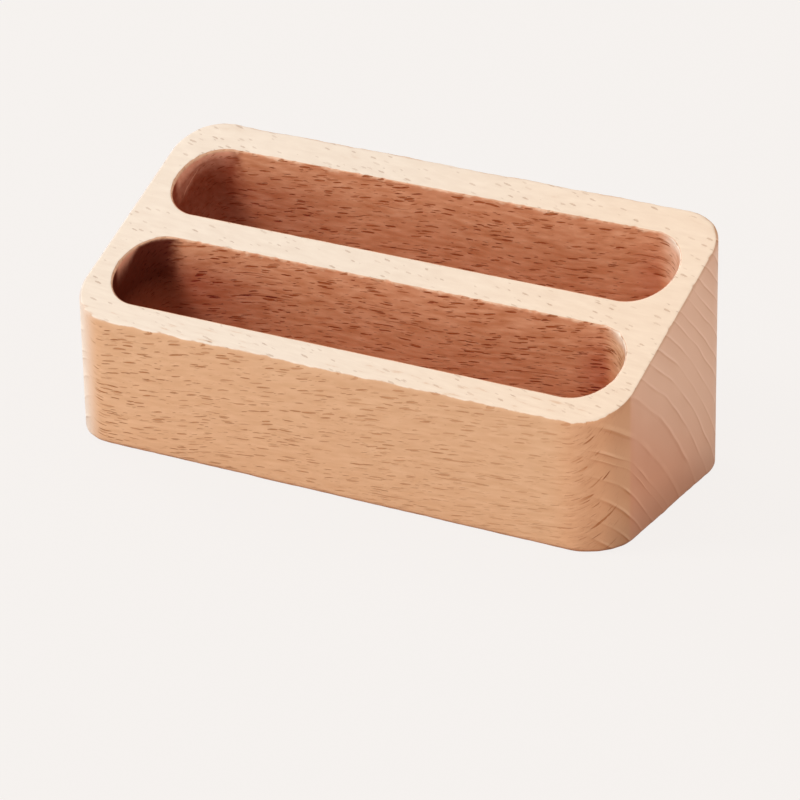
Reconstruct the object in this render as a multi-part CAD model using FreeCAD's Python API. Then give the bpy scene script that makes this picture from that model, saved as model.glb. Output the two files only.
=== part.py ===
import FreeCAD, Part
import math
import os

# Business card holder: one block of beech with a slanted top and two long slots
# that stand the cards in two tiers, the back row higher than the front row.
# All lengths are in millimetres. X runs along the slots, Y from front to back and Z up.
# The origin is the middle of the footprint, on the surface that the block stands on.

# What the slots are for
card_length = 90.0          # the long side of a standard business card
finger_room = 4.0           # free length past each end of the cards

# Slots, each milled straight down with one cutter, so its ends are half circles
slot_count = 2
slot_width = 14.4           # the cutter's diameter
slot_depth = 20.0           # below the slanted top, on the slot's middle line
slot_gap = 5.8              # wood left between two slots

# Wood around the slots
front_wall = 5.0
back_wall = 6.4
end_wall = 4.5
floor_thickness = 9.2       # under the front slot, the lowest one

# Outside shape
top_slope = 25.0            # degrees, the top rises towards the back
corner_radius = 8.5         # upright corners
top_edge_radius = 0.8       # sanded edge all round the slanted top
rim_radius = 0.5            # sanded edge round each slot
base_edge_radius = 0.8      # eased edge round the bottom

# Worked out from the sizes above
slot_length = card_length + 2 * finger_room
block_length = slot_length + 2 * end_wall
block_depth = front_wall + slot_count * slot_width + (slot_count - 1) * slot_gap + back_wall
front_y = -block_depth / 2
first_slot_y = front_y + front_wall + slot_width / 2
slot_pitch = slot_width + slot_gap
rise = math.tan(math.radians(top_slope))
front_height = floor_thickness + slot_depth - rise * (first_slot_y - front_y)
back_height = front_height + rise * block_depth


def top_height(y):
    """Height of the slanted top at a distance from the middle towards the back."""
    return front_height + rise * (y - front_y)


def rounded_plan(length, depth, radius):
    """Face on the ground: a rectangle about the origin with rounded corners."""
    straight_x = length / 2 - radius
    straight_y = depth / 2 - radius
    corners = [
        (straight_x, straight_y, 0),
        (-straight_x, straight_y, 90),
        (-straight_x, -straight_y, 180),
        (straight_x, -straight_y, 270),
    ]
    arcs = []
    for centre_x, centre_y, start in corners:
        circle = Part.Circle(FreeCAD.Vector(centre_x, centre_y, 0), FreeCAD.Vector(0, 0, 1), radius)
        arcs.append(Part.Arc(circle, math.radians(start), math.radians(start + 90)).toShape())
    edges = []
    for arc, following in zip(arcs, arcs[1:] + arcs[:1]):
        edges.append(arc)
        end = arc.Vertexes[-1].Point
        start = following.Vertexes[0].Point
        if end.distanceToPoint(start) > 1e-6:
            edges.append(Part.makeLine(end, start))
    return Part.Face(Part.Wire(edges))


def slanted_block():
    """The outside of the block: its rounded plan, cut off by the slanted top."""
    prism = rounded_plan(block_length, block_depth, corner_radius)
    prism = prism.extrude(FreeCAD.Vector(0, 0, back_height))
    side = Part.makePolygon([
        FreeCAD.Vector(-block_length / 2, front_y, 0),
        FreeCAD.Vector(-block_length / 2, -front_y, 0),
        FreeCAD.Vector(-block_length / 2, -front_y, back_height),
        FreeCAD.Vector(-block_length / 2, front_y, front_height),
        FreeCAD.Vector(-block_length / 2, front_y, 0),
    ])
    wedge = Part.Face(side).extrude(FreeCAD.Vector(block_length, 0, 0))
    return prism.common(wedge)


def slot_cutter(index):
    """The space that the mill clears for one slot, counted from the front."""
    centre_y = first_slot_y + index * slot_pitch
    floor_z = top_height(centre_y) - slot_depth
    plan = rounded_plan(slot_length, slot_width, slot_width / 2)
    plan.translate(FreeCAD.Vector(0, centre_y, floor_z))
    return plan.extrude(FreeCAD.Vector(0, 0, back_height))


def face_towards(shape, direction):
    """The flat face of the shape that points most nearly in a direction."""
    flat = [face for face in shape.Faces if isinstance(face.Surface, Part.Plane)]
    return max(flat, key=lambda face: face.normalAt(0, 0).dot(direction))


def ease_edges(block):
    """Sanded edges: round the slots first, then round the top and the bottom."""
    top_normal = FreeCAD.Vector(0, -rise, 1).normalize()
    top = face_towards(block, top_normal)
    rims = []
    for wire in top.Wires:
        if not wire.isSame(top.OuterWire):
            rims.extend(wire.Edges)
    block = block.makeFillet(rim_radius, rims)
    top = face_towards(block, top_normal)
    block = block.makeFillet(top_edge_radius, top.OuterWire.Edges)
    base = face_towards(block, FreeCAD.Vector(0, 0, -1))
    return block.makeFillet(base_edge_radius, base.OuterWire.Edges)


def beech_block():
    """The whole card holder, milled from one piece of wood."""
    block = slanted_block()
    for index in range(slot_count):
        block = block.cut(slot_cutter(index))
    return ease_edges(block)


os.makedirs("parts", exist_ok=True)
holder = beech_block()
holder.exportStep("parts/beech_block.step")
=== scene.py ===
import math

import bmesh
import bpy
from mathutils import Matrix, Vector, noise


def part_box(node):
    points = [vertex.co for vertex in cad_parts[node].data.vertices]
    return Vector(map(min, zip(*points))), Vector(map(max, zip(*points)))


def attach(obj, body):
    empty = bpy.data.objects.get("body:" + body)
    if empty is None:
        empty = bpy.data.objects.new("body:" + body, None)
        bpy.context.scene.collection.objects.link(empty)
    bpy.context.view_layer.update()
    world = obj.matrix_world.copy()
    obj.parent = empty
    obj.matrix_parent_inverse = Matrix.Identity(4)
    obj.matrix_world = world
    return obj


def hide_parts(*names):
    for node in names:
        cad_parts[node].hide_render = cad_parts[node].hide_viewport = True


# Business card holder: one block of beech, milled, sanded and lightly oiled.
# Sizes are in millimetres until mm turns them into metres.

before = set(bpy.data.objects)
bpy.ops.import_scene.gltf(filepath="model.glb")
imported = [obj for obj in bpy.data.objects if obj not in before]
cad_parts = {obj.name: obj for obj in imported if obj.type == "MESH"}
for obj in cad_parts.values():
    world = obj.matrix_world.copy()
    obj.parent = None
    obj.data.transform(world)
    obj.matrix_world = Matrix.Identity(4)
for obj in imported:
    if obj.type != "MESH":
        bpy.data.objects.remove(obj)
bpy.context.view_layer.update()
mm = 0.001


# Block

block = {
    "topSlope": 25.0,        # degrees, rising to the back
    "floorThickness": 9.2,   # wood under the front slot
    "slotCount": 2,
    "slotWidth": 14.4,
    "slotDepth": 20.0,       # on the slot's middle line
    "slotGap": 5.8,
    "frontWall": 5.0,
    "endWall": 4.5,
    "cornerRadius": 8.5,
    "topEdge": 0.8,          # rounding along the front and the back
    "endEdge": 0.35,         # crisper where the top meets the ends
    "rimEdge": 0.5,
    "baseEdge": 0.8,
    "handSanding": 0.7,      # how much more a rounding may be worn in places, a share of it
    "sandingSwell": 9.0,     # size of the worn places
    "sandingGrit": 1.6,      # and of the small ones among them
    "tearing": 1.2,          # small breaks along the far rims
    "tearingGrit": 1.3,      # their size
    "tearingBegins": 0.6,    # Y of the way a wall faces: 1 on a slot's near wall, -1 on its far one
    "nicks": (               # chipped spots: x, y, reach, depth
        (45.2, -4.4, 0.9, 0.8), (53.5, 13.7, 0.5, 0.5), (53.5, 7.6, 0.5, 0.5), (53.5, -1.5, 0.5, 0.3)),
    "edgePoints": 0.4,       # spacing of the mesh along an edge
    "arcPoints": 96,         # round a full circle
    "edgeRings": 7,          # across a rounding
    "wallRings": 4,          # down a wall
    "margin": 0.2,           # flat strip beside a rounding, which keeps the big faces flat
}

cadLow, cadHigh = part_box("beech_block")
length = (cadHigh.x - cadLow.x) / mm
depth = (cadHigh.y - cadLow.y) / mm
rise = math.tan(math.radians(block["topSlope"]))
topNormal = Vector((0, -rise, 1)).normalized()
firstSlot = -depth / 2 + block["frontWall"] + block["slotWidth"] / 2
frontHeight = block["floorThickness"] + block["slotDepth"] - rise * (firstSlot + depth / 2)


def topHeight(y):
    return frontHeight + rise * (y + depth / 2)


def outward(spot, size):
    # level direction away from a rounded plan at one of its own points
    length, depth, radius = size
    core = Vector((
        max(-length / 2 + radius, min(length / 2 - radius, spot.x)),
        max(-depth / 2 + radius, min(depth / 2 - radius, spot.y)),
        0,
    ))
    return (Vector((spot.x, spot.y, 0)) - core).normalized()


def planLoop(bm, place, size, centreY):
    # a circle pulled apart into a rectangle with round corners, or into a slot with round ends
    length, depth, radius = size
    halfStep = math.pi / block["arcPoints"]
    made = bmesh.ops.create_circle(
        bm, cap_ends=False, radius=radius, segments=block["arcPoints"],
        matrix=Matrix.Rotation(halfStep, 4, "Z"),
    )
    for v in made["verts"]:
        v.co.x += math.copysign(length / 2 - radius, v.co.x)
        v.co.y += math.copysign(depth / 2 - radius, v.co.y)
    edges = set(e for v in made["verts"] for e in v.link_edges)
    for e in sorted(edges, key=lambda e: -e.calc_length()):
        cuts = round(e.calc_length() / block["edgePoints"]) - 1
        if cuts > 1:
            bmesh.ops.subdivide_edges(bm, edges=[e], cuts=cuts)
    loop = [e for e in bm.edges if not e.link_faces and not e.tag]
    for v in set(v for e in loop for v in e.verts):
        v[place] = v.co
        v.co.y += centreY
    for e in loop:
        e.tag = True
    return loop


def nextRing(bm, place, loop, whereTo):
    # carries a loop on by one ring of faces; whereTo gives each point's new position
    made = bmesh.ops.extrude_edge_only(bm, edges=loop)["geom"]
    verts = set(v for v in made if isinstance(v, bmesh.types.BMVert))
    for v in verts:
        v.co = whereTo(v[place])
    ring = [e for e in made if isinstance(e, bmesh.types.BMEdge) and set(e.verts) <= verts]
    for e in ring:
        e.tag = True
    return ring


def rounding(corner, wall, flat, radius, turn):
    # point on a rounded edge: turn 0 lies on the flat, 1 on the wall
    centre = corner - (wall + flat) * radius / (1 + wall.dot(flat))
    return centre + flat.slerp(wall, turn) * radius


def sanded(corner, radius):
    # sanded by hand: never sharper than radius, softer in places, most of it in slow swells
    swell = 0.5 + 0.5 * noise.noise(corner / block["sandingSwell"])
    grit = 0.5 + 0.5 * noise.noise(corner / block["sandingGrit"] + Vector((30, 0, 0)))
    return radius * (1 + block["handSanding"] * (0.6 * swell + 0.4 * grit))


def chipped(corner):
    # how much wood a nick has taken off an edge here
    lost = 0.0
    for x, y, reach, deep in block["nicks"]:
        away = math.hypot(corner.x - x, corner.y - y)
        lost += deep * max(0.0, 1 - away / reach)
    return lost


def edgeRings(bm, place, loop, cornerAt, wallAt, flat, radiusAt, fromFlat):
    # the strips of one rounded edge, from the flat to the wall or the other way
    steps = block["edgeRings"]
    margin = block["margin"]
    order = [(0, margin)] + [(i / steps, 0) for i in range(steps + 1)] + [(1, margin)]
    if not fromFlat:
        order.reverse()

    def position(spot, turn, away):
        corner, wall = cornerAt(spot), wallAt(spot)
        sideways = wall.cross(Vector((0, 0, 1)))
        facing = (flat - sideways * flat.dot(sideways)).normalized()
        point = rounding(corner, wall, facing, radiusAt(corner, wall), turn)
        if not away:
            return point
        along = wall - facing * wall.dot(facing) if turn == 0 else facing - wall * facing.dot(wall)
        return point - along.normalized() * away

    if not any(e.link_faces for e in loop):
        for v in set(v for e in loop for v in e.verts):
            v.co = position(v[place], *order[0])
        order = order[1:]
    for turn, away in order:
        loop = nextRing(bm, place, loop, lambda spot: position(spot, turn, away))
    return loop


def outside(bm, place):
    # from the slanted top over its edge, down the faces and round the bottom edge
    size = (length, depth, block["cornerRadius"])
    down = Vector((0, 0, -1))
    start = planLoop(bm, place, size, 0)

    def wallAt(spot):
        return outward(spot, size)

    def topCorner(spot):
        return Vector((spot.x, spot.y, topHeight(spot.y)))

    def baseCorner(spot):
        return Vector((spot.x, spot.y, 0))

    def topRadius(corner, wall):
        worn = sanded(corner, block["topEdge"] + (block["endEdge"] - block["topEdge"]) * wall.x ** 2)
        return worn + chipped(corner)

    def baseRadius(corner, wall):
        return sanded(corner, block["baseEdge"])

    loop = edgeRings(bm, place, start, topCorner, wallAt, topNormal, topRadius, True)
    upper = block["topEdge"] * 3        # the rings of the wall keep clear of both roundings
    lower = block["baseEdge"] * 2
    for i in range(1, block["wallRings"]):
        share = i / block["wallRings"]
        loop = nextRing(bm, place, loop, lambda spot: Vector((
            spot.x, spot.y, (topHeight(spot.y) - upper) * (1 - share) + lower * share)))
    loop = edgeRings(bm, place, loop, baseCorner, wallAt, down, baseRadius, False)
    bmesh.ops.edgeloop_fill(bm, edges=loop)
    return start


def slot(bm, place, index):
    # from the slanted top over the rim and down to a flat floor
    width = block["slotWidth"]
    size = (length - 2 * block["endWall"], width, width / 2)
    centreY = firstSlot + index * (width + block["slotGap"])
    floorZ = topHeight(centreY) - block["slotDepth"]
    start = planLoop(bm, place, size, centreY)

    def wallAt(spot):
        return -outward(spot, size)

    def rimCorner(spot):
        return Vector((spot.x, spot.y + centreY, topHeight(spot.y + centreY)))

    def rimRadius(corner, wall):
        # crisp where the cutter came out towards the front, a little torn along the back
        far = max(0.0, block["tearingBegins"] - wall.y) / (block["tearingBegins"] + 1)
        grit = max(0.0, noise.noise(corner / block["tearingGrit"]) - 0.05)
        return block["rimEdge"] + far * block["tearing"] * grit + chipped(corner)

    loop = edgeRings(bm, place, start, rimCorner, wallAt, topNormal, rimRadius, True)
    upper = block["rimEdge"] * 4        # clear of the rounding, also where it is torn
    for i in range(1, block["wallRings"] + 1):
        share = i / block["wallRings"]
        loop = nextRing(bm, place, loop, lambda spot: Vector((
            spot.x, spot.y + centreY,
            (topHeight(spot.y + centreY) - upper) * (1 - share) + floorZ * share)))
    bmesh.ops.edgeloop_fill(bm, edges=loop)
    for e in loop:
        e.smooth = False    # the floor meets the wall in a sharp edge
    return start


def makeBlock():
    bm = bmesh.new()
    place = bm.verts.layers.float_vector.new("place")   # where a point stood in the plan
    rims = outside(bm, place)
    for index in range(block["slotCount"]):
        rims += slot(bm, place, index)
    bmesh.ops.triangle_fill(bm, edges=rims, use_beauty=True, normal=topNormal)
    bmesh.ops.scale(bm, verts=bm.verts, vec=Vector((mm, mm, mm)))
    bmesh.ops.recalc_face_normals(bm, faces=bm.faces)
    for f in bm.faces:
        f.smooth = True
    bm.verts.layers.float_vector.remove(place)
    mesh = bpy.data.meshes.new("cardHolder")
    bm.to_mesh(mesh)
    bm.free()
    holder = bpy.data.objects.new("cardHolder", mesh)
    bpy.context.collection.objects.link(holder)
    return holder


# Beech, planed, milled and sanded, with a thin coat of oil: a soft satin sheen over warm tan wood.

def colour(hexText):
    # sRGB hex to the linear colour that Blender works in
    values = [int(hexText[i:i + 2], 16) / 255 for i in (1, 3, 5)]
    linear = [v / 12.92 if v <= 0.04045 else ((v + 0.055) / 1.055) ** 2.4 for v in values]
    return (*linear, 1.0)


def add(tree, kind, inputs=(), stops=(), **settings):
    # adds a node with its settings, and a colour ramp with its stops from 0 to 1
    # an input is a value, a socket, or a node that feeds it
    made = tree.nodes.new("ShaderNode" + kind)
    for name, value in settings.items():
        setattr(made, name, value)
    for key, value in (inputs.items() if isinstance(inputs, dict) else enumerate(inputs)):
        if isinstance(value, bpy.types.Node):
            value = value.outputs[0]
        if isinstance(value, bpy.types.NodeSocket):
            tree.links.new(value, made.inputs[key])
        else:
            made.inputs[key].default_value = value
    for position, shade in stops[1:-1]:
        made.color_ramp.elements.new(position).color = shade
    if stops:
        made.color_ramp.elements[0].color = stops[0][1]
        made.color_ramp.elements[-1].color = stops[-1][1]
    return made


def newMaterial(name):
    material = bpy.data.materials.new(name)
    material.use_nodes = True
    material.node_tree.nodes.clear()
    return material, material.node_tree


# Most pairs run from where a thing begins to where it is full: in mm from the middle of the
# footprint, or as the note says: down is mm below the slanted top, up is mm above the floor, and
# turn is how far a side has turned from the front or back (0) to an end (1). Two more numbers say
# how strong the thing is there.
beech = {
    "sideColour": "#DDAB82",
    "topSheenColour": "#F0DDC9",          # planed along the grain: the palest face, paler still with painted sheen and painted light
    # painted light: the top warmer and brighter towards the right
    "topRightLitColour": "#F5DBC1",
    "topRightLit": (-20.0, 50.0),
    "topFacing": (0.84, 0.62, 0.95),    # how level: begins in front, begins at the pale edges, full
    "topFacingInside": (0.90, 0.99),    # the same between the slots' rims
    "topWaves": (50.0, 52.5, 0.22, 0.02),   # its ragged border, quieter at the ends
    "backEdge": (18.0, 21.0),        # rounded, but as pale as the top
    "leftEdge": (-50.0, -52.0),
    "leftEdgeShadeColour": "#DBD4CE",     # painted shade that greys the lamps' highlight on the rounded left edge, duller there too
    "leftEdgeFacing": (-0.10, -0.45),   # X of the way it faces
    "endColour": "#DCAC8E",          # end grain, a touch pinker
    "endTurn": (0.975, 0.995),
    "endLowShadeColour": "#CD8E6C",       # painted shade: browner towards its lower front
    "endLow": (24.0, 2.0),           # up on the middle line, and less by the tilt per mm to the back
    "endLowTilt": 0.75,
    "leftEndColour": "#D3AC92",
    "leftCornerHighlightColour": "#E0CEBE",         # painted highlight on the front's left corner, where it turns towards the lamps
    "leftTurn": (0.10, 0.80),
    "cornerColour": "#DFA277",       # turn, painted shade just before the end grain
    "corner": (40.5, 50.5),
    "cornerFades": (0.80, 0.99),     # turn
    "cornerShade": (0.60, 0.92, 0.0, 0.17),   # turn
    "frontHalf": (6.0, -6.0),
    "footShade": (9.0, 0.5, 0.0, 0.17),   # up, painted shade near the floor
    "baseShadowColour": "#D8BBA8",         # painted shadow in a line along the bottom edge, multiplies the wood
    "baseShadowLine": (0.9, 0.2),          # up

    "slotsAlong": (51.0, 50.0),      # the field that both slots lie in
    "slotsAcross": (20.0, 19.0),
    "slotBegins": (0.01, 0.12),      # down
    "slotHeight": (3.0, 5.0),        # up, leaves out the underside
    "backSlot": (-1.0, 1.0),
    "slotColour": "#D79068",         # milled walls, browned by the cutter
    "slotShadeColour": "#DDB6B3",        # painted shade: darker and redder towards the ends and deeper down, multiplies the wood
    "slotShadeLeft": (-16.0, -38.0),
    "slotShadeRight": (35.0, 41.5, 0.0, 0.75),
    "slotShadeRightEnds": (44.0, 42.0),
    "slotShadeBack": 0.64,               # share of it in the back slot
    "slotShadeBegins": (1.0, 7.5),       # down
    "slotShadeSettles": (9.0, 16.0, 1.0, 0.72),     # down
    "slotEndLightColour": "#DAAA84",      # painted light on the slots' right ends, front slot
    "slotEndLightBackColour": "#E4B394",
    "slotEndLight": (41.5, 46.0),
    "slotEndLightLater": (3.0, 10.0, 0.0, 1.6),      # down, and how far it begins further right
    "slotEndShadeColour": "#632718",        # painted shade at the slots' left ends, front slot
    "slotEndShadeDeepColour": "#BA6343",
    "slotEndShadeBackColour": "#984A31",
    "slotEndShadeBackDeepColour": "#BE7053",
    "slotEndShadeDeep": (7.0, 15.0),        # down
    "slotEndShadeBegins": (-40.3, -39.7, 0.34),    # front slot, back slot, and further right per mm down
    "slotEndShadeFull": (-43.2, -42.2, -0.16),
    "slotEndShadeRagged": 2.6,              # mm
    "slotEndShadeMottled": (0.04, 0.14),    # front slot, back slot
    "rimTornAndLitColour": "#E8B592",          # torn fibres under a rim, left pale; also the colour of the painted light at the slots' ends
    "rimTorn": (0.45, -0.15),        # down
    "rimRagged": -2.2,               # mm
    "rimBloom": (2.2, 0.5, 0.0, 0.7),   # down, on the painted light of the right ends
    "rimEdge": (0.6, 0.2),           # down, the same place, right at the rim
    "rimLeft": (-40.5, -43.5),
    "rimLeftLightColour": "#EDA687",
    "rimLeftFirst": (0.7, 0.2),      # down
    "rimLeftFacing": (0.25, 0.0),    # Y of the way it faces
    "rimLeftBand": (0.25, 0.90),     # how much of its full width the pale band has, front and back
    "rimLeftTip": (-47.5, -49.2, 1.5),  # and how much at the tip
    "rimLeftRagged": -0.5,
    "rimGlow": (                     # painted light: how pale the left ends are below the rim: mm, front, back
        (0.0, 1.0, 1.0), (0.5, 1.0, 1.0), (1.0, 0.66, 0.88), (1.5, 0.34, 0.70), (1.9, 0.16, 0.28),
        (2.3, 0.06, 0.34), (3.0, 0.0, 0.26), (3.6, 0.0, 0.10), (4.2, 0.0, 0.0)),
    "scratch": (14.55, 0.9),         # down on the middle line, and less for each mm to the back
    "scratchWidth": (0.22, 0.08, 0.0, 0.33),    # mm from its line
    "scratchRagged": 0.5,
    "scratchStarts": (10.0, 10.8),   # to the back
    "scratchEnds": (13.8, 13.2),

    "pith": (53.5, -56.3, -38.2),    # a point on the middle of the trunk
    "grainTurn": (0.0, -2.3, -1.7),  # degrees, from X to the trunk's own direction
    "trunkRadius": 82.0,             # the distance from the pith at which lengths round it are true
    "bend": (0.022, (0.0, 3.0, 3.0)),   # slow bends of the grain: waves per mm, mm
    "ripple": (0.10, 1.4),           # small ripples of the rings
    "sway": (0.13, (3.0, 0.9, 0.7)),    # of the marks
    "ringEdges": (                   # where one year's wood ends, measured from the pith
        50.1, 53.6, 56.2, 59.4, 62.3, 65.2, 66.4, 70.1, 75.9, 79.6, 82.8, 85.6, 88.3, 91.2,
        93.4, 96.2, 98.3, 100.8, 103.7, 106.3, 109.2, 112.0, 115.1),
    "ringSpan": (45.0, 120.0),
    "ringTones": (                   # through one year: share of its width, darkness
        (0.0, 0.7), (0.03, 0.0), (0.10, 0.0), (0.18, 0.30), (0.50, 0.42), (0.85, 0.60),
        (0.95, 1.0), (1.0, 0.7)),
    "ringMean": 0.35,                # the darkness that leaves the wood's colour as it is
    "ringBold": (0.36, 0.62, 0.35, 1.5),    # bolder in places
    "ringBoldScale": 0.11,           # waves per mm

    # marks: room for one in mm along the grain, outward and round the trunk, smallest and largest
    # reach as a share of the room, share of rooms that stay empty
    "rays": ((3.2, 1.7, 0.22), (0.16, 0.46), 0.28),
    "pores": ((2.0, 1.2, 0.17), (0.12, 0.36), 0.45),
    "lines": ((20.0, 6.0, 0.34), (0.10, 0.30), 0.66),
    "cracks": ((9.0, 5.0, 0.55), (0.16, 0.42), 0.35),
    "dashes": ((9.0, 0.50, 0.45), (0.18, 0.42), 0.70),
    "dashTurn": (0.0, -4.1, -18.3),  # degrees
    "rayLean": -0.025,               # how much the rays climb along the grain
    "markRagged": (2.6, 0.32),       # waves per room, share of the room
    "markEdge": 0.10,                # how soft its edge is, a share of the room
    "markFaintest": 0.35,            # beside the darkest one

    # how dark each mark is, as a share of white in the eye's scale
    "rayDepth": 0.20,
    "slotRayDepth": 0.26,
    "lineDepth": 0.09,
    "slotLineDepth": 0.13,
    "dashDepth": 0.12,
    "poreDepth": 0.12,
    "poreOutside": 0.4,              # share of it outside the slots
    "crackDepth": 0.25,
    "crackTurn": (0.20, 0.50),       # turn, only on the brown corner
    "crackEnds": (0.90, 0.72),
    "ringDepth": 0.065,
    "ringTurn": (0.35, 0.80, 0.1, 1.8),     # turn, before the end grain
    "marksEnd": (0.93, 0.985, 1.0, 0.0),    # turn, towards the end grain
    "marksCalm": (-45.0, 40.0, 1.0, 0.42),  # fainter rays towards the right
    "marksTurn": (0.30, 0.78, 1.0, 0.08),   # turn, outside
    "marksTurnLeft": 2.2,            # how much sooner on the left
    "slotMarksTurn": (0.30, 0.95, 1.0, 0.2),    # turn, rays on the slots' walls
    "marksInSlotEndShade": 0.35,              # share left in the painted shade at the slots' left ends

    "fibreCell": (4.6, 2.4, 0.50),   # mm, drawn coarser than real fibres so that they show
    "fibreSpread": (0.28, 0.72),
    "raggedCell": (1.9, 0.9, 0.9),
    "streak": 0.05,                  # how far the fibres go lighter and darker, from end to end
    "slotStreak": 0.14,
    "slotEndShadeStreak": 0.014,
    "topStreak": 0.035,
    "streakRelief": 0.3,             # share of it that is felt
    "markTint": (0.88, 1.10, 1.16),  # marks take a little more from blue and green
    "darkest": 0.02,                 # no spot goes below it in the eye's scale
    "relief": 0.45,                  # depth in mm of a mark that would take away all the white
    "roughness": 0.46,
    "markRoughness": 0.8,            # what a mark adds
    "sheen": (0.32, 0.10),           # oiled wood, and duller in the painted shade at the slots' left ends and on the shaded left edge
}


def surfaces(tree, spot, facing, ragged):
    # shares from 0 to 1 that tell the surfaces apart
    at = add(tree, "SeparateXYZ", [spot]).outputs
    turned = add(tree, "SeparateXYZ", [facing]).outputs
    upward = add(tree, "VectorMath", [facing, topNormal], operation="DOT_PRODUCT").outputs["Value"]
    fall = add(tree, "VectorMath", [spot, (0, rise, -1)], operation="DOT_PRODUCT").outputs["Value"]
    below = add(tree, "Math", [fall, topHeight(0)], operation="ADD")
    away = add(tree, "VectorMath", [spot], operation="ABSOLUTE")
    apart = add(tree, "SeparateXYZ", [away]).outputs

    # inside the slots, whatever way the surface faces
    acrossX = add(tree, "MapRange", [apart[0], *beech["slotsAlong"]], interpolation_type="SMOOTHSTEP")
    acrossY = add(tree, "MapRange", [apart[1], *beech["slotsAcross"]], interpolation_type="SMOOTHSTEP")
    among = add(tree, "Math", [acrossX, acrossY], operation="MULTIPLY")
    deep = add(tree, "MapRange", [below, *beech["slotBegins"]], interpolation_type="SMOOTHSTEP")
    high = add(tree, "MapRange", [at[2], *beech["slotHeight"]], interpolation_type="SMOOTHSTEP")
    inSlot = add(tree, "Math", [deep, high], operation="MULTIPLY")
    inSlot = add(tree, "Math", [inSlot, among], operation="MULTIPLY")

    # the slanted top: it ends raggedly, and its back and left edges are as pale as itself
    waves = add(tree, "MapRange", [apart[0], *beech["topWaves"]])
    wavy = add(tree, "Math", [ragged, waves, upward], operation="MULTIPLY_ADD")
    behind = add(tree, "MapRange", [at[1], *beech["backEdge"]], interpolation_type="SMOOTHSTEP")
    leftmost = add(tree, "MapRange", [at[0], *beech["leftEdge"]], interpolation_type="SMOOTHSTEP")
    # painted shade on the left edge of the top, which is also duller
    shadedDullEdge = add(tree, "MapRange", [turned[0], *beech["leftEdgeFacing"]], interpolation_type="SMOOTHSTEP")
    shadedDullEdge = add(tree, "Math", [shadedDullEdge, leftmost], operation="MULTIPLY")
    kept = add(tree, "Math", [behind, leftmost], operation="MAXIMUM")
    inFront, atEdge, full = beech["topFacing"]
    start = add(tree, "MapRange", [kept, 0.0, 1.0, inFront, atEdge])
    onTop = add(tree, "MapRange", [wavy, start, full], interpolation_type="SMOOTHSTEP")
    flat = add(tree, "MapRange", [upward, *beech["topFacingInside"]], interpolation_type="SMOOTHSTEP")
    onTop = add(tree, "Mix", {0: among, 2: onTop, 3: flat})

    # how far a side has turned towards the ends: by the plan outside, by its own facing in a slot
    straight = (length / 2 - block["cornerRadius"], depth / 2 - block["cornerRadius"], 1000.0)
    beyond = add(tree, "VectorMath", [away, straight], operation="SUBTRACT")
    beyond = add(tree, "VectorMath", [beyond, (0, 0, 0)], operation="MAXIMUM")
    beyond = add(tree, "VectorMath", [beyond], operation="NORMALIZE")
    planned = add(tree, "SeparateXYZ", [beyond]).outputs[0]
    faced = add(tree, "Math", [turned[0]], operation="ABSOLUTE")
    sideways = add(tree, "Mix", {0: inSlot, 2: planned, 3: faced})
    notTop = add(tree, "Math", [1.0, onTop], operation="SUBTRACT")
    sideways = add(tree, "Math", [sideways, notTop], operation="MULTIPLY")
    return {
        "x": at[0], "y": at[1], "z": at[2], "below": below,
        "inSlot": inSlot, "onTop": onTop, "sideways": sideways, "notTop": notTop,
        "shadedDullEdge": shadedDullEdge, "facingY": turned[1],
        "onEnd": add(tree, "MapRange", [sideways, *beech["endTurn"]], interpolation_type="SMOOTHSTEP"),
        "back": add(tree, "MapRange", [at[1], *beech["backSlot"]], interpolation_type="SMOOTHSTEP"),
    }


def trunkSpace(tree, spot):
    # the trunk's own space: along the grain, out from the pith, round the pith
    turn = [math.radians(a) for a in beech["grainTurn"]]
    trunk = add(tree, "Mapping", {"Vector": spot, "Location": beech["pith"], "Rotation": turn},
                vector_type="TEXTURE")
    scale, amount = beech["bend"]
    bend = add(tree, "TexNoise", {"Vector": trunk, "Scale": scale, "Detail": 1.0}).outputs["Color"]
    bent = add(tree, "VectorMath", [bend, (-0.5, -0.5, -0.5)], operation="ADD")
    trunk = add(tree, "VectorMath", [bent, amount, trunk], operation="MULTIPLY_ADD")
    parts = add(tree, "SeparateXYZ", [trunk]).outputs
    level = add(tree, "VectorMath", [trunk, (0.0, 1.0, 1.0)], operation="MULTIPLY")
    out = add(tree, "VectorMath", [level], operation="LENGTH").outputs["Value"]
    scale, amount = beech["ripple"]
    ripple = add(tree, "TexNoise", {"Vector": trunk, "Scale": scale, "Detail": 1.0})
    ripple = add(tree, "Math", [ripple, 0.5], operation="SUBTRACT")
    wavyOut = add(tree, "Math", [ripple, amount, out], operation="MULTIPLY_ADD")
    angle = add(tree, "Math", [parts[2], parts[1]], operation="ARCTAN2")
    around = add(tree, "Math", [angle, beech["trunkRadius"]], operation="MULTIPLY")
    return add(tree, "CombineXYZ", [parts[0], out, around]), wavyOut


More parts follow.
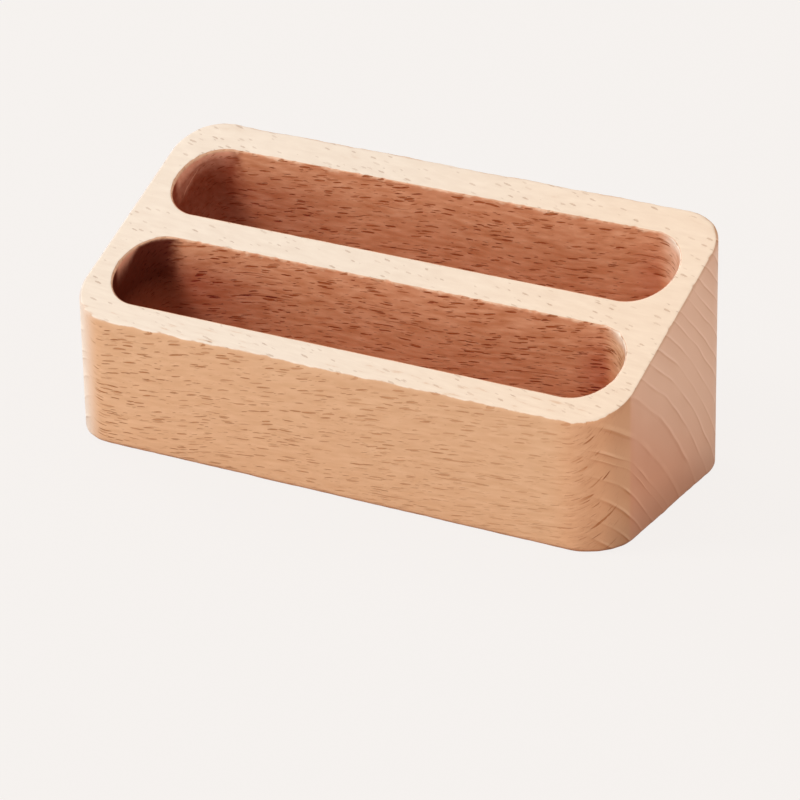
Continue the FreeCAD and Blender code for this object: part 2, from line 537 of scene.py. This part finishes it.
def spots(tree, vector, cell, sizes, empty):
    # spots stretched along the grain, one to a cell, some cells left empty; no two are equally dark
    packed = add(tree, "VectorMath", [vector, cell], operation="DIVIDE")
    cells = add(tree, "TexVoronoi", {"Vector": packed, "Scale": 1.0})
    scale, amount = beech["markRagged"]
    ragged = add(tree, "TexNoise", {"Vector": packed, "Scale": scale, "Detail": 1.0})
    dice = add(tree, "TexWhiteNoise", {"Vector": cells.outputs["Color"]}).outputs["Color"]
    chance = add(tree, "SeparateColor", [dice]).outputs
    size = add(tree, "MapRange", [chance[0], empty, 1.0, *sizes], interpolation_type="SMOOTHSTEP")
    there = add(tree, "Math", [chance[0], empty], operation="GREATER_THAN")
    size = add(tree, "Math", [size, there], operation="MULTIPLY")
    uneven = add(tree, "Math", [ragged, amount, -amount / 2], operation="MULTIPLY_ADD")
    reach = add(tree, "Math", [uneven, cells.outputs["Distance"]], operation="ADD")
    depth = add(tree, "Math", [size, reach], operation="SUBTRACT")
    mark = add(tree, "MapRange", [depth, 0.0, beech["markEdge"]], interpolation_type="SMOOTHSTEP")
    strength = add(tree, "MapRange", [chance[1], 0.0, 1.0, beech["markFaintest"], 1.0])
    return add(tree, "Math", [mark, strength], operation="MULTIPLY")


def growthRings(tree, out, bold):
    # a light line at each ring's edge, pale wood after it, then darker up to the next one
    low, high = beech["ringSpan"]
    share = add(tree, "MapRange", [out, low, high])
    steps = len(beech["ringEdges"]) + 1
    counted = [((edge - low) / (high - low), (i + 1) / steps) for i, edge in enumerate(beech["ringEdges"])]
    counted = [(0.0, 0.0), *counted, (1.0, 1.0)]
    count = add(tree, "ValToRGB", [share], [(place, (level, level, level, 1)) for place, level in counted])
    scaled = add(tree, "Math", [count, float(steps)], operation="MULTIPLY")
    year = add(tree, "Math", [scaled], operation="FRACT")
    tones = beech["ringTones"]
    tone = add(tree, "ValToRGB", [year], [(place, (level, level, level, 1)) for place, level in tones])
    tone = add(tree, "Math", [tone, beech["ringMean"]], operation="SUBTRACT")
    return add(tree, "Math", [tone, bold], operation="MULTIPLY")


def shadedSlotEnds(tree, on, ragged):
    # painted shade on a slot's left end: the dark starts sharply near the rim and ever more softly below
    front, back, spread = beech["slotEndShadeBegins"]
    begins = add(tree, "MapRange", [on["back"], 0.0, 1.0, front, back])
    begins = add(tree, "Math", [on["below"], spread, begins], operation="MULTIPLY_ADD")
    front, back, spread = beech["slotEndShadeFull"]
    full = add(tree, "MapRange", [on["back"], 0.0, 1.0, front, back])
    full = add(tree, "Math", [on["below"], spread, full], operation="MULTIPLY_ADD")
    drift = add(tree, "Math", [ragged, beech["slotEndShadeRagged"], on["x"]], operation="MULTIPLY_ADD")
    slotEndShade = add(tree, "MapRange", [drift, begins, full], interpolation_type="SMOOTHSTEP")
    slotEndShade = add(tree, "Math", [slotEndShade, on["inSlot"]], operation="MULTIPLY")
    deeper = add(tree, "MapRange", [on["below"], *beech["slotEndShadeDeep"]])
    inFront = add(tree, "Mix", {
        0: deeper, 6: colour(beech["slotEndShadeColour"]), 7: colour(beech["slotEndShadeDeepColour"])},
        data_type="RGBA")
    behind = add(tree, "Mix", {
        0: deeper, 6: colour(beech["slotEndShadeBackColour"]), 7: colour(beech["slotEndShadeBackDeepColour"])},
        data_type="RGBA")
    wood = add(tree, "Mix", {
        0: on["back"], 6: inFront.outputs[2], 7: behind.outputs[2]}, data_type="RGBA")
    return slotEndShade, wood.outputs[2]


def litSlotEnds(tree, on):
    # a slot's right end, made paler: painted light where it faces the lamps
    later = add(tree, "MapRange", [on["below"], *beech["slotEndLightLater"]])
    slotEndLight = add(tree, "Math", [on["x"], later], operation="SUBTRACT")
    slotEndLight = add(tree, "MapRange", [slotEndLight, *beech["slotEndLight"]], interpolation_type="SMOOTHSTEP")
    slotEndLight = add(tree, "Math", [slotEndLight, on["inSlot"]], operation="MULTIPLY")
    wood = add(tree, "Mix", {
        0: on["back"], 6: colour(beech["slotEndLightColour"]), 7: colour(beech["slotEndLightBackColour"])},
        data_type="RGBA")
    return slotEndLight, wood.outputs[2]


def shadedMilledWalls(tree, on):
    # painted shade: darker and redder towards the ends, from a little below the rim
    leftwards = add(tree, "MapRange", [on["x"], *beech["slotShadeLeft"]])
    rightwards = add(tree, "MapRange", [on["x"], *beech["slotShadeRight"]], interpolation_type="SMOOTHSTEP")
    ending = add(tree, "MapRange", [on["x"], *beech["slotShadeRightEnds"]], interpolation_type="SMOOTHSTEP")
    rightwards = add(tree, "Math", [rightwards, ending], operation="MULTIPLY")
    slotShade = add(tree, "Math", [leftwards, rightwards], operation="MAXIMUM")
    lessBehind = add(tree, "MapRange", [on["back"], 0.0, 1.0, 1.0, beech["slotShadeBack"]])
    downwards = add(tree, "MapRange", [on["below"], *beech["slotShadeBegins"]])
    settling = add(tree, "MapRange", [on["below"], *beech["slotShadeSettles"]])
    for share in (lessBehind, downwards, settling):
        slotShade = add(tree, "Math", [slotShade, share], operation="MULTIPLY")
    return add(tree, "Mix", {
        0: slotShade, 6: colour(beech["slotColour"]), 7: colour(beech["slotShadeColour"])},
        data_type="RGBA", blend_type="MULTIPLY").outputs[2]


def lightScratch(tree, on, ragged):
    # a light scratch across the back slot's left end
    start, slope = beech["scratch"]
    off = add(tree, "Math", [on["y"], slope, on["below"]], operation="MULTIPLY_ADD")
    off = add(tree, "Math", [off, start], operation="SUBTRACT")
    off = add(tree, "Math", [ragged, beech["scratchRagged"], off], operation="MULTIPLY_ADD")
    off = add(tree, "Math", [off], operation="ABSOLUTE")
    scratch = add(tree, "MapRange", [off, *beech["scratchWidth"]], interpolation_type="SMOOTHSTEP")
    for ending in ("scratchStarts", "scratchEnds"):
        share = add(tree, "MapRange", [on["y"], *beech[ending]], interpolation_type="SMOOTHSTEP")
        scratch = add(tree, "Math", [scratch, share], operation="MULTIPLY")
    return scratch


def tornAndLitRims(tree, on, ragged, slotEndLight):
    # pale torn fibres under the rims, and painted light at the slots' ends
    rimTornAndLit = add(tree, "Math", [ragged, beech["rimRagged"], on["below"]], operation="MULTIPLY_ADD")
    rimTornAndLit = add(tree, "MapRange", [rimTornAndLit, *beech["rimTorn"]], interpolation_type="SMOOTHSTEP")
    bloom = add(tree, "MapRange", [on["below"], *beech["rimBloom"]], interpolation_type="SMOOTHSTEP")
    edge = add(tree, "MapRange", [on["below"], *beech["rimEdge"]], interpolation_type="SMOOTHSTEP")
    bloom = add(tree, "Math", [bloom, edge], operation="MAXIMUM")
    bloom = add(tree, "Math", [bloom, slotEndLight], operation="MULTIPLY")
    rimTornAndLit = add(tree, "Math", [rimTornAndLit, bloom], operation="MAXIMUM")

    # round the left ends a band of painted light, widest at the tip
    atLeft = add(tree, "MapRange", [on["x"], *beech["rimLeft"]], interpolation_type="SMOOTHSTEP")
    narrow = add(tree, "MapRange", [on["back"], 0.0, 1.0, *beech["rimLeftBand"]])
    begins, tip, widest = beech["rimLeftTip"]
    wide = add(tree, "MapRange", [on["x"], begins, tip, narrow, widest], interpolation_type="SMOOTHSTEP")
    wavy = add(tree, "Math", [ragged, beech["rimLeftRagged"], on["below"]], operation="MULTIPLY_ADD")
    wide = add(tree, "Math", [wavy, wide], operation="DIVIDE")
    reach = beech["rimGlow"][-1][0]
    glow = add(tree, "MapRange", [wide, 0.0, reach])
    stops = [(deep / reach, (front, back, 0.0, 1.0)) for deep, front, back in beech["rimGlow"]]
    glow = add(tree, "SeparateColor", [add(tree, "ValToRGB", [glow], stops)]).outputs
    glow = add(tree, "Mix", {0: on["back"], 2: glow[0], 3: glow[1]})
    glow = add(tree, "Math", [glow, lightScratch(tree, on, ragged)], operation="ADD")
    farSide = add(tree, "MapRange", [on["facingY"], *beech["rimLeftFacing"]],
                  interpolation_type="SMOOTHSTEP")
    glow = add(tree, "Math", [glow, farSide], operation="MULTIPLY")
    rimTornAndLit = add(tree, "Mix", {0: atLeft, 2: rimTornAndLit, 3: glow})
    rimTornAndLit = add(tree, "Math", [rimTornAndLit, on["inSlot"]], operation="MULTIPLY")
    wood = add(tree, "Mix", {
        0: slotEndLight, 6: colour(beech["rimTornAndLitColour"]), 7: colour(beech["topSheenColour"])}, data_type="RGBA")
    first = add(tree, "MapRange", [on["below"], *beech["rimLeftFirst"]], interpolation_type="SMOOTHSTEP")
    leftWood = add(tree, "Mix", {
        0: first, 6: colour(beech["rimLeftLightColour"]), 7: colour(beech["rimTornAndLitColour"])}, data_type="RGBA")
    wood = add(tree, "Mix", {0: atLeft, 6: wood.outputs[2], 7: leftWood.outputs[2]}, data_type="RGBA")
    return rimTornAndLit, wood.outputs[2]


def woodColour(tree, on, ragged):
    # the plain wood of each surface, without its marks
    left = add(tree, "Math", [on["x"], 0.0], operation="LESS_THAN")
    near = add(tree, "MapRange", [on["y"], *beech["frontHalf"]], interpolation_type="SMOOTHSTEP")
    # painted highlight on the front's left corner
    pale = add(tree, "MapRange", [on["sideways"], *beech["leftTurn"]], interpolation_type="SMOOTHSTEP")
    for share in (near, left):
        pale = add(tree, "Math", [pale, share], operation="MULTIPLY")
    brown = add(tree, "MapRange", [on["x"], *beech["corner"]], interpolation_type="SMOOTHSTEP")
    brown = add(tree, "Math", [brown, near], operation="MULTIPLY")
    fading = add(tree, "MapRange", [on["sideways"], *beech["cornerFades"]], interpolation_type="SMOOTHSTEP")
    endShare = add(tree, "Mix", {0: brown, 2: fading, 3: on["onEnd"]})
    # painted shade lower on the ends
    lower = add(tree, "Math", [on["y"], beech["endLowTilt"], on["z"]], operation="MULTIPLY_ADD")
    lower = add(tree, "MapRange", [lower, *beech["endLow"]], interpolation_type="SMOOTHSTEP")
    endWood = add(tree, "Mix", {
        0: lower, 6: colour(beech["endColour"]), 7: colour(beech["endLowShadeColour"])}, data_type="RGBA")
    endWood = add(tree, "Mix", {
        0: left, 6: endWood.outputs[2], 7: colour(beech["leftEndColour"])}, data_type="RGBA")

    slotEndShade, slotEndShadeWood = shadedSlotEnds(tree, on, ragged)
    slotEndLight, slotEndLightWood = litSlotEnds(tree, on)
    rimTornAndLit, rimWood = tornAndLitRims(tree, on, ragged, slotEndLight)
    wood = colour(beech["sideColour"])
    for share, tint in ((pale, colour(beech["leftCornerHighlightColour"])), (brown, colour(beech["cornerColour"])),
                        (endShare, endWood.outputs[2]), (on["inSlot"], shadedMilledWalls(tree, on)),
                        (slotEndLight, slotEndLightWood), (slotEndShade, slotEndShadeWood), (rimTornAndLit, rimWood)):
        wood = add(tree, "Mix", {0: share, 6: wood, 7: tint}, data_type="RGBA").outputs[2]
    # painted light towards the right of the top
    along = add(tree, "MapRange", [on["x"], *beech["topRightLit"]], interpolation_type="SMOOTHSTEP")
    top = add(tree, "Mix", {
        0: along, 6: colour(beech["topSheenColour"]), 7: colour(beech["topRightLitColour"])}, data_type="RGBA")
    top = add(tree, "Mix", {
        0: on["shadedDullEdge"], 6: top.outputs[2], 7: colour(beech["leftEdgeShadeColour"])}, data_type="RGBA")
    # painted sheen and painted light: the top takes its paler colour
    wood = add(tree, "Mix", {0: on["onTop"], 6: wood, 7: top.outputs[2]}, data_type="RGBA").outputs[2]

    # painted shade: darker at the foot of the ends and just before the right one, and a painted shadow line
    # along the bottom edge
    paintedShade = add(tree, "MapRange", [on["z"], *beech["footShade"]], interpolation_type="SMOOTHSTEP")
    paintedShade = add(tree, "Math", [paintedShade, on["sideways"]], operation="MULTIPLY")
    before = add(tree, "MapRange", [on["sideways"], *beech["cornerShade"]],
                 interpolation_type="SMOOTHSTEP")
    before = add(tree, "Mix", {0: on["onEnd"], 2: before, 3: 0.0})
    before = add(tree, "Math", [before, brown], operation="MULTIPLY")
    paintedShade = add(tree, "Math", [paintedShade, before], operation="ADD")
    light = add(tree, "Math", [1.0, paintedShade], operation="SUBTRACT")
    wood = add(tree, "VectorMath", {0: wood, "Scale": light}, operation="SCALE")
    # painted shadow along the bottom edge
    line = add(tree, "MapRange", [on["z"], *beech["baseShadowLine"]], interpolation_type="SMOOTHSTEP")
    wood = add(tree, "Mix", {0: line, 6: wood, 7: colour(beech["baseShadowColour"])},
               data_type="RGBA", blend_type="MULTIPLY").outputs[2]
    return wood, slotEndShade, brown


def allMarks(tree, on, spot, grain, out, slotEndShade, brown):
    # how dark the marks are together
    scale, amount = beech["sway"]
    sway = add(tree, "TexNoise", {"Vector": grain, "Scale": scale, "Detail": 1.0}).outputs["Color"]
    swaying = add(tree, "VectorMath", [sway, amount, grain], operation="MULTIPLY_ADD")
    parts = add(tree, "SeparateXYZ", [swaying]).outputs
    climb = add(tree, "Math", [parts[0], beech["rayLean"], parts[2]], operation="MULTIPLY_ADD")
    leaning = add(tree, "CombineXYZ", [parts[0], parts[1], climb])
    turn = [math.radians(a) for a in beech["dashTurn"]]
    planed = add(tree, "Mapping", {"Vector": spot, "Rotation": turn}, vector_type="TEXTURE")
    rays = spots(tree, leaning, *beech["rays"])
    pores = spots(tree, leaning, *beech["pores"])
    lines = spots(tree, swaying, *beech["lines"])
    cracks = spots(tree, swaying, *beech["cracks"])
    dashes = spots(tree, planed, *beech["dashes"])
    bold = add(tree, "TexNoise", {"Vector": grain, "Scale": beech["ringBoldScale"], "Detail": 1.0})
    bold = add(tree, "MapRange", [bold, *beech["ringBold"]])
    rings = growthRings(tree, out, bold)

    # how strongly each mark shows on each surface
    quiet = add(tree, "MapRange", [on["sideways"], *beech["marksEnd"]], interpolation_type="SMOOTHSTEP")
    quiet = add(tree, "Math", [quiet, on["notTop"]], operation="MULTIPLY")
    calm = add(tree, "MapRange", [on["x"], *beech["marksCalm"]])
    leftSide = add(tree, "MapRange", [on["x"], 0.0, -1.0, 1.0, beech["marksTurnLeft"]])
    turned = add(tree, "Math", [on["sideways"], leftSide], operation="MULTIPLY")
    turned = add(tree, "MapRange", [turned, *beech["marksTurn"]], interpolation_type="SMOOTHSTEP")
    slotTurned = add(tree, "MapRange", [on["sideways"], *beech["slotMarksTurn"]],
                     interpolation_type="SMOOTHSTEP")
    notInSlot = add(tree, "Math", [1.0, on["inSlot"]], operation="SUBTRACT")
    sideRays = add(tree, "Math", [calm, turned], operation="MULTIPLY")
    sideRays = add(tree, "Math", [sideRays, beech["rayDepth"]], operation="MULTIPLY")
    slotRays = add(tree, "Math", [slotTurned, beech["slotRayDepth"]], operation="MULTIPLY")
    dimmed = add(tree, "MapRange", [slotEndShade, 0.0, 1.0, 1.0, beech["marksInSlotEndShade"]])
    rayDepth = add(tree, "Mix", {0: on["inSlot"], 2: sideRays, 3: slotRays})
    for share in (dimmed, quiet):
        rayDepth = add(tree, "Math", [rayDepth, share], operation="MULTIPLY")
    inside = beech["poreDepth"]
    poreDepth = add(tree, "MapRange", [on["inSlot"], 0.0, 1.0, inside * beech["poreOutside"], inside])
    poreDepth = add(tree, "Math", [poreDepth, quiet], operation="MULTIPLY")
    lineDepth = add(tree, "Mix", {0: on["inSlot"], 2: beech["lineDepth"], 3: beech["slotLineDepth"]})
    for share in (quiet, turned):
        lineDepth = add(tree, "Math", [lineDepth, share], operation="MULTIPLY")
    corner = add(tree, "MapRange", [on["sideways"], *beech["crackTurn"]], interpolation_type="SMOOTHSTEP")
    crackDepth = add(tree, "MapRange", [on["sideways"], *beech["crackEnds"], 0.0, beech["crackDepth"]])
    for share in (corner, brown):
        crackDepth = add(tree, "Math", [crackDepth, share], operation="MULTIPLY")
    dashDepth = add(tree, "Math", [on["onTop"], beech["dashDepth"]], operation="MULTIPLY")
    ringed = add(tree, "MapRange", [on["sideways"], *beech["ringTurn"]], interpolation_type="SMOOTHSTEP")
    ringed = add(tree, "Mix", {0: on["onEnd"], 2: ringed, 3: 1.0})
    for share in (notInSlot, beech["ringDepth"]):
        ringed = add(tree, "Math", [ringed, share], operation="MULTIPLY")
    marks = add(tree, "Math", [rays, rayDepth], operation="MULTIPLY")
    for mark, depth in ((pores, poreDepth), (lines, lineDepth), (cracks, crackDepth),
                        (dashes, dashDepth), (rings, ringed)):
        marks = add(tree, "Math", [mark, depth, marks], operation="MULTIPLY_ADD")
    return marks, turned


def beechMaterial():
    material, tree = newMaterial("oiledSolidBeech")
    objectSpace = add(tree, "TexCoord").outputs
    spot = add(tree, "VectorMath", {0: objectSpace["Object"], "Scale": 1 / mm}, operation="SCALE")
    grain, out = trunkSpace(tree, spot)

    # fibres: streaks lighter and darker, about 5 mm long and half a millimetre wide
    packed = add(tree, "VectorMath", [grain, beech["fibreCell"]], operation="DIVIDE")
    fibres = add(tree, "TexNoise", {"Vector": packed, "Scale": 1.0, "Detail": 3.5})
    fibres = add(tree, "MapRange", [fibres, *beech["fibreSpread"], -0.5, 0.5])
    packed = add(tree, "VectorMath", [spot, beech["raggedCell"]], operation="DIVIDE")
    ragged = add(tree, "TexNoise", {"Vector": packed, "Scale": 1.0, "Detail": 2.0})
    ragged = add(tree, "Math", [ragged, 0.5], operation="SUBTRACT")
    on = surfaces(tree, spot, objectSpace["Normal"], fibres)
    wood, slotEndShade, brown = woodColour(tree, on, ragged)
    marks, turned = allMarks(tree, on, spot, grain, out, slotEndShade, brown)

    # how strongly the fibres show on each surface
    streak = add(tree, "Math", [turned, beech["streak"]], operation="MULTIPLY")
    slotStreak = add(tree, "MapRange", [slotEndShade, 0.0, 1.0, beech["slotStreak"], beech["slotEndShadeStreak"]])
    others = ((on["inSlot"], slotStreak), (on["onTop"], beech["topStreak"]), (on["onEnd"], 0.0))
    for share, strength in others:
        streak = add(tree, "Mix", {0: share, 2: streak, 3: strength})
    mottled = add(tree, "MapRange", [on["back"], 0.0, 1.0, *beech["slotEndShadeMottled"]])
    mottled = add(tree, "Math", [mottled, slotEndShade], operation="MULTIPLY")
    tones = add(tree, "Math", [fibres, streak], operation="MULTIPLY")
    tones = add(tree, "Math", [ragged, mottled, tones], operation="MULTIPLY_ADD")
    level = add(tree, "Math", [tones, marks], operation="SUBTRACT")
    height = add(tree, "Math", [tones, beech["streakRelief"]], operation="MULTIPLY")
    height = add(tree, "Math", [height, marks], operation="SUBTRACT")

    # tones and marks are taken away in the eye's scale
    darkest = beech["darkest"]
    seen = add(tree, "Gamma", [wood, 1 / 2.2])
    level = add(tree, "VectorMath", [level, beech["markTint"]], operation="MULTIPLY")
    seen = add(tree, "VectorMath", [seen, level], operation="ADD")
    seen = add(tree, "VectorMath", [seen, (darkest, darkest, darkest)], operation="MAXIMUM")
    wood = add(tree, "Gamma", [seen, 2.2])
    relief = add(tree, "Bump", {"Height": height, "Distance": beech["relief"] * mm, "Strength": 1.0})
    rough = add(tree, "Math", [marks, beech["markRoughness"], beech["roughness"]], operation="MULTIPLY_ADD")
    dull = add(tree, "Math", [slotEndShade, on["shadedDullEdge"]], operation="MAXIMUM")
    sheen = add(tree, "MapRange", [dull, 0.0, 1.0, *beech["sheen"]])
    shader = add(tree, "BsdfPrincipled", {
        "Base Color": wood, "Roughness": rough, "IOR": 1.5, "Specular IOR Level": sheen,
        "Normal": relief})
    add(tree, "OutputMaterial", {"Surface": shader})
    return material


# Studio

studio = {
    "floorSize": 4000.0,
    "floorColour": "#F6F2EF",
    "cameraSees": 0.96,     # share of the floor that the camera sees in its plain colour, the rest is lit
    "seenLevel": 0.995,     # brightness of that plain colour
    "worldLight": 0.57,
    "lampsAim": 20.0,       # height of the spot that the lamps point at
}

camera = {
    "azimuth": 29.92,        # degrees
    "elevation": 24.63,
    "roll": -1.09,
    "distance": 728.9,
    "lens": 189.8,           # on a 36 mm sensor
    "aim": (2.01, -2.08, 9.93),
}


def direction(azimuth, elevation):
    # away from the object: degrees round from the front towards +X, and up
    around, above = math.radians(azimuth), math.radians(elevation)
    return Vector((
        math.sin(around) * math.cos(above),
        -math.cos(around) * math.cos(above),
        math.sin(above),
    ))


def makeCamera():
    back = direction(camera["azimuth"], camera["elevation"])
    data = bpy.data.cameras.new("camera")
    data.lens = camera["lens"]
    data.sensor_width = 36
    data.clip_start, data.clip_end = 0.05, 20
    made = bpy.data.objects.new("camera", data)
    made.rotation_mode = "QUATERNION"
    roll = Matrix.Rotation(math.radians(camera["roll"]), 4, back)
    made.rotation_quaternion = roll.to_quaternion() @ (-back).to_track_quat("-Z", "Y")
    made.location = (Vector(camera["aim"]) + back * camera["distance"]) * mm
    bpy.context.collection.objects.link(made)
    bpy.context.scene.camera = made


def makeFloor():
    bm = bmesh.new()
    bmesh.ops.create_grid(bm, x_segments=1, y_segments=1, size=studio["floorSize"] / 2 * mm)
    mesh = bpy.data.meshes.new("floor")
    bm.to_mesh(mesh)
    bm.free()
    floor = bpy.data.objects.new("floor", mesh)
    bpy.context.collection.objects.link(floor)
    material, tree = newMaterial("palePaperFloor")
    paint = colour(studio["floorColour"])
    lit = add(tree, "BsdfDiffuse", {"Color": paint})
    plain = add(tree, "Emission", {"Color": paint, "Strength": studio["seenLevel"]})
    seen = add(tree, "LightPath").outputs["Is Camera Ray"]
    share = add(tree, "Math", [seen, studio["cameraSees"]], operation="MULTIPLY")
    add(tree, "OutputMaterial", {"Surface": add(tree, "MixShader", [share, lit, plain])})
    mesh.materials.append(material)


def makeWorld():
    world = bpy.data.worlds.new("studioWorld")
    world.use_nodes = True
    tree = world.node_tree
    tree.nodes.clear()
    seen = add(tree, "LightPath").outputs["Is Camera Ray"]
    light = add(tree, "Background", {"Color": colour("#FFFFFF"), "Strength": studio["worldLight"]})
    plain = add(tree, "Background", {"Color": colour(studio["floorColour"]), "Strength": 1.0})
    add(tree, "OutputWorld", {"Surface": add(tree, "MixShader", [seen, light, plain])})
    bpy.context.scene.world = world


lamps = {   # azimuth and elevation as seen from the object, distance, width, height, power in watts
    "key": (-58, 36, 2200, 660, 660, 26.5),
    "edge": (-115, 25, 3500, 1000, 1000, 30.0),
    "fill": (100, 18, 1500, 900, 900, 3.6),
}


def makeLamps():
    for name, (azimuth, elevation, distance, width, height, power) in lamps.items():
        towards = direction(azimuth, elevation)
        data = bpy.data.lights.new(name, "AREA")
        data.shape = "RECTANGLE"
        data.size, data.size_y = width * mm, height * mm
        data.energy = power
        lamp = bpy.data.objects.new(name, data)
        lamp.location = towards * distance * mm + Vector((0, 0, studio["lampsAim"] * mm))
        lamp.rotation_mode = "QUATERNION"
        lamp.rotation_quaternion = (-towards).to_track_quat("-Z", "Y")
        bpy.context.collection.objects.link(lamp)


holder = makeBlock()
print("block made:", len(holder.data.polygons), "faces")
holder.data.materials.append(beechMaterial())
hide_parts("beech_block")
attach(holder, "root")
print("beech laid on")

makeFloor()
makeWorld()
makeLamps()
makeCamera()
bpy.context.scene.view_settings.view_transform = "Standard"
print("studio set")
